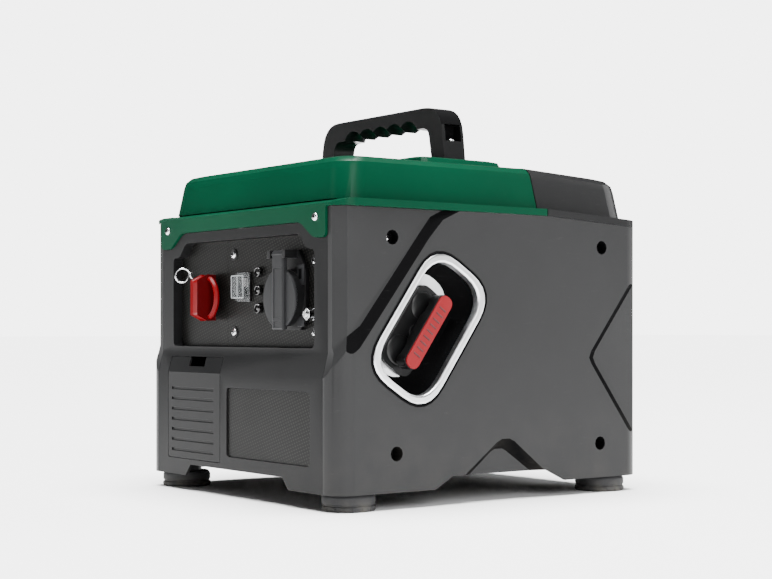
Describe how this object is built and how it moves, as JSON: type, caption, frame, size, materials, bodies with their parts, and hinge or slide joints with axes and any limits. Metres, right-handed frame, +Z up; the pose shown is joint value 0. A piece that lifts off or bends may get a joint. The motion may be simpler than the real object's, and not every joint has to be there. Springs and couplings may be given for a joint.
{
  "type": "portable inverter generator",
  "caption": "Box-shaped portable generator on rubber feet, with a green lid, a carrying handle, a recessed control panel and a slanted pull-start grip in its side.",
  "frame": {"origin": "middle of the feet's ground plane, at the centre of the whole generator's box", "axes": "+Z up, -Y towards the control panel's side, +X towards the pull-start side"},
  "size_m": [0.3354, 0.3744, 0.371],
  "materials": {
    "charcoal_plastic": "fine moulded grain, satin",
    "black_plastic": "satin black moulding",
    "green_plastic": "semi-gloss deep green moulding",
    "foot_rubber": "matt black rubber",
    "panel_weave": "printed fine diagonal weave, blank",
    "red_plastic": "gloss red",
    "flap_grey": "satin grey moulding",
    "clear_plastic": "clear flexible cover",
    "chrome": "bright plated",
    "steel": "brushed",
    "cast_metal": "die-cast, bead blasted",
    "copper_windings": "lacquered copper coils",
    "cord_black": "braided black cord"
  },
  "bodies": {
    "machine": {"front_cover": "charcoal_plastic", "rear_cover": "charcoal_plastic", "side_cover_right": "charcoal_plastic", "side_cover_left": "charcoal_plastic", "nameplate": "panel_weave", "base_tray": "black_plastic", "foot_front_left": "foot_rubber", "foot_front_right": "foot_rubber", "foot_rear_left": "foot_rubber", "foot_rear_right": "foot_rubber", "top_cover": "green_plastic", "rear_top_cover": "black_plastic", "carry_handle": "black_plastic", "control_plate_left": "panel_weave", "control_plate_right": "panel_weave", "rocker_frame": "black_plastic", "rocker_cover": "clear_plastic", "lamp_1": "black_plastic", "lamp_2": "black_plastic", "lamp_3": "black_plastic", "fuel_valve": "cast_metal", "socket_body": "black_plastic", "flap_pin": "steel", "ground_stud": "chrome", "wire_loop": "chrome", "recoil_bezel": "chrome", "recoil_cup": "steel", "rope_guide": "black_plastic", "stator": "copper_windings", "engine_block": "cast_metal", "spark_plug": "steel", "muffler": "steel", "fuel_tank": "black_plastic", "air_filter": "black_plastic", "carburetor": "cast_metal", "inverter_module": "steel", "apron_screw_left": "chrome", "apron_screw_right": "chrome", "handle_screw_left": "chrome", "handle_screw_right": "chrome", "panel_screw_1": "chrome", "panel_screw_2": "chrome", "panel_screw_3": "chrome", "panel_screw_4": "chrome", "side_screw_1": "chrome", "side_screw_2": "chrome", "side_screw_3": "chrome", "side_screw_4": "chrome"},
    "fuel_knob_body": {"fuel_knob": "red_plastic"},
    "socket_flap_body": {"socket_flap": "flap_grey"},
    "rocker_body": {"rocker": "black_plastic"},
    "service_door_body": {"service_door": "charcoal_plastic"},
    "starter_grip_body": {"starter_grip": "black_plastic", "grip_insert": "red_plastic", "starter_rope": "cord_black"},
    "pulley_body": {"recoil_pulley": "black_plastic"},
    "rotor_body": {"crankshaft": "steel", "flywheel_fan": "cast_metal"},
    "fuel_cap_body": {"fuel_cap": "black_plastic"},
    "ground_nut_body": {"ground_nut": "chrome"}
  },
  "joints": [
    {"name": "fuel_knob_turn", "type": "hinge", "parent": "machine", "child": "fuel_knob_body", "pos_m": [-0.0617, -0.17535, 0.1886], "axis": [0, 1, 0], "range_deg": [0, 90]},
    {"name": "socket_flap_open", "type": "hinge", "parent": "machine", "child": "socket_flap_body", "pos_m": [0.0763, -0.17995, 0.2254], "axis": [-1, 0, 0], "range_deg": [0, 105], "stiffness_Nm_per_rad": 0.02, "springref_deg": -20.05},
    {"name": "rocker_tip", "type": "hinge", "parent": "machine", "child": "rocker_body", "pos_m": [-0.0053, -0.16415, 0.198], "axis": [1, 0, 0], "range_deg": [0, 16]},
    {"name": "service_door_open", "type": "hinge", "parent": "machine", "child": "service_door_body", "pos_m": [-0.0768, -0.18035, 0.0315], "axis": [1, 0, 0], "range_deg": [0, 80]},
    {"name": "starter_pull", "type": "slide", "parent": "machine", "child": "starter_grip_body", "axis": [1, 0, 0], "range_m": [0, 0.6], "stiffness_N_per_m": 20, "springref_m": -0.1, "deforming": ["starter_rope"]},
    {"name": "pulley_spin", "type": "hinge", "parent": "machine", "child": "pulley_body", "pos_m": [-0.0007, -0.0781, 0.1257], "axis": [0, 1, 0], "range_deg": [0, 1150]},
    {"name": "rotor_spin", "type": "hinge", "parent": "machine", "child": "rotor_body", "pos_m": [-0.0007, -0.0586, 0.1257], "axis": [0, 1, 0], "continuous": true},
    {"name": "fuel_cap_turn", "type": "hinge", "parent": "machine", "child": "fuel_cap_body", "pos_m": [-0.0007, -0.0816, 0.308], "axis": [0, 0, 1], "range_deg": [0, 120]},
    {"name": "ground_nut_turn", "type": "hinge", "parent": "machine", "child": "ground_nut_body", "pos_m": [0.1108, -0.17035, 0.1715], "axis": [0, -1, 0], "range_deg": [0, 720]}
  ],
  "couplings": [
    {"joint": "pulley_spin", "follows": "starter_pull", "rad_per_m": 33.333}
  ]
}
